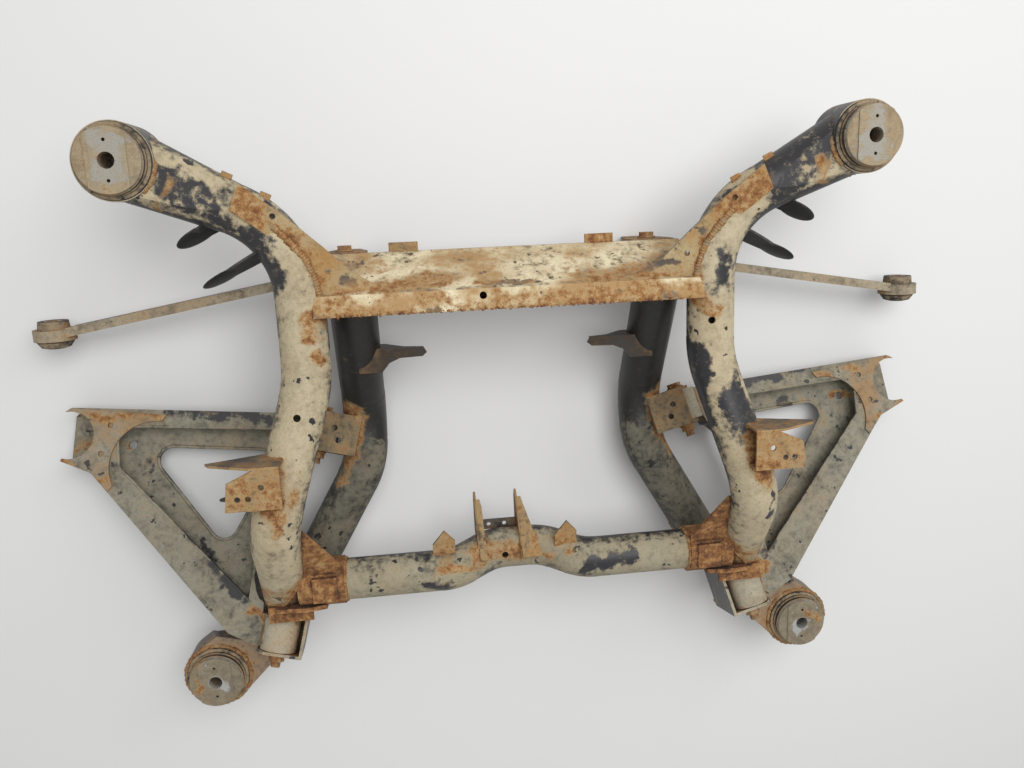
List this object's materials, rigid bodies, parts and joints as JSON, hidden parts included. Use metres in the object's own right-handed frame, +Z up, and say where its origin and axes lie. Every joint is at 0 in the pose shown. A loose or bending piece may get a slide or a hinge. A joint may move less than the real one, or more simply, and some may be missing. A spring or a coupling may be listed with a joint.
{
  "type": "rear subframe",
  "caption": "Welded tubular rear subframe with rubber body mounts, pressed triangular lower arms and toe links on sprung hinges.",
  "frame": {"origin": "on the floor under the middle of the frame, midway between the front and rear mount axes", "axes": "+X to the right side, +Y to the front of the frame, +Z up through its underside, as it lies on its back"},
  "size_m": [1.257, 0.79, 0.282],
  "materials": {
    "frame_paint": "worn dark paint under pale dust and rust",
    "arch_paint": "dull dark paint with dust",
    "rusted_steel": "matt orange-brown rust over steel sheet",
    "arm_paint": "grey paint, dusty, with dark patches",
    "link_paint": "grey paint under tan dust",
    "mount_alloy": "dull cast aluminium with corrosion specks",
    "bush_rubber": "matt black rubber",
    "bolt_steel": "tarnished steel with rust"
  },
  "bodies": {
    "frame": {"left_main_tube": "frame_paint", "right_main_tube": "frame_paint", "left_arch_tube": "arch_paint", "right_arch_tube": "arch_paint", "left_gusset": "rusted_steel", "right_gusset": "rusted_steel", "left_front_sleeve": "frame_paint", "right_front_sleeve": "frame_paint", "left_rear_sleeve": "frame_paint", "right_rear_sleeve": "frame_paint", "left_front_rubber": "bush_rubber", "right_front_rubber": "bush_rubber", "left_rear_rubber": "bush_rubber", "right_rear_rubber": "bush_rubber", "left_front_core": "mount_alloy", "right_front_core": "mount_alloy", "left_rear_core": "mount_alloy", "right_rear_core": "mount_alloy", "left_node_shell": "rusted_steel", "right_node_shell": "rusted_steel", "left_mount_arm": "frame_paint", "right_mount_arm": "frame_paint", "left_arm_rear_bracket": "frame_paint", "right_arm_rear_bracket": "frame_paint", "left_arm_front_bracket": "rusted_steel", "right_arm_front_bracket": "rusted_steel", "left_link_bracket": "rusted_steel", "right_link_bracket": "rusted_steel", "left_side_bracket": "rusted_steel", "right_side_bracket": "rusted_steel", "left_leaves": "frame_paint", "right_leaves": "frame_paint", "front_crossmember": "rusted_steel", "rear_crossmember": "frame_paint", "arch_tabs": "rusted_steel", "front_tabs": "rusted_steel", "rear_tabs": "rusted_steel", "differential_ears": "rusted_steel", "differential_bar": "frame_paint", "arm_bolts": "bolt_steel", "arm_spacers": "bolt_steel", "link_bolts": "bolt_steel", "link_spacers": "bolt_steel"},
    "left_arm": {"left_arm": "arm_paint", "left_arm_end_plate": "arm_paint", "left_arm_sleeves": "arm_paint", "left_arm_rubbers": "bush_rubber"},
    "right_arm": {"right_arm": "arm_paint", "right_arm_end_plate": "arm_paint", "right_arm_sleeves": "arm_paint", "right_arm_rubbers": "bush_rubber"},
    "left_link": {"left_link": "link_paint", "left_link_eyes": "link_paint", "left_link_rubbers": "bush_rubber", "left_link_core": "bolt_steel"},
    "right_link": {"right_link": "link_paint", "right_link_eyes": "link_paint", "right_link_rubbers": "bush_rubber", "right_link_core": "bolt_steel"}
  },
  "joints": [
    {"name": "left_arm_pivot", "type": "hinge", "parent": "frame", "child": "left_arm", "pos_m": [-0.262, -0.016, 0.07], "axis": [0.2403, 0.918, -0.3156], "range_deg": [-0.5, 16], "stiffness_Nm_per_rad": 200, "springref_deg": 1.15},
    {"name": "right_arm_pivot", "type": "hinge", "parent": "frame", "child": "right_arm", "pos_m": [0.262, -0.016, 0.07], "axis": [0.2403, -0.918, 0.3156], "range_deg": [-0.5, 16], "stiffness_Nm_per_rad": 200, "springref_deg": 1.15},
    {"name": "left_link_pivot", "type": "hinge", "parent": "frame", "child": "left_link", "pos_m": [-0.209, 0.208, 0.075], "axis": [0, 1, 0], "range_deg": [-3.5, 16], "stiffness_Nm_per_rad": 120, "springref_deg": 0.97},
    {"name": "right_link_pivot", "type": "hinge", "parent": "frame", "child": "right_link", "pos_m": [0.209, 0.208, 0.075], "axis": [0, -1, 0], "range_deg": [-3.5, 16], "stiffness_Nm_per_rad": 120, "springref_deg": 0.97}
  ]
}
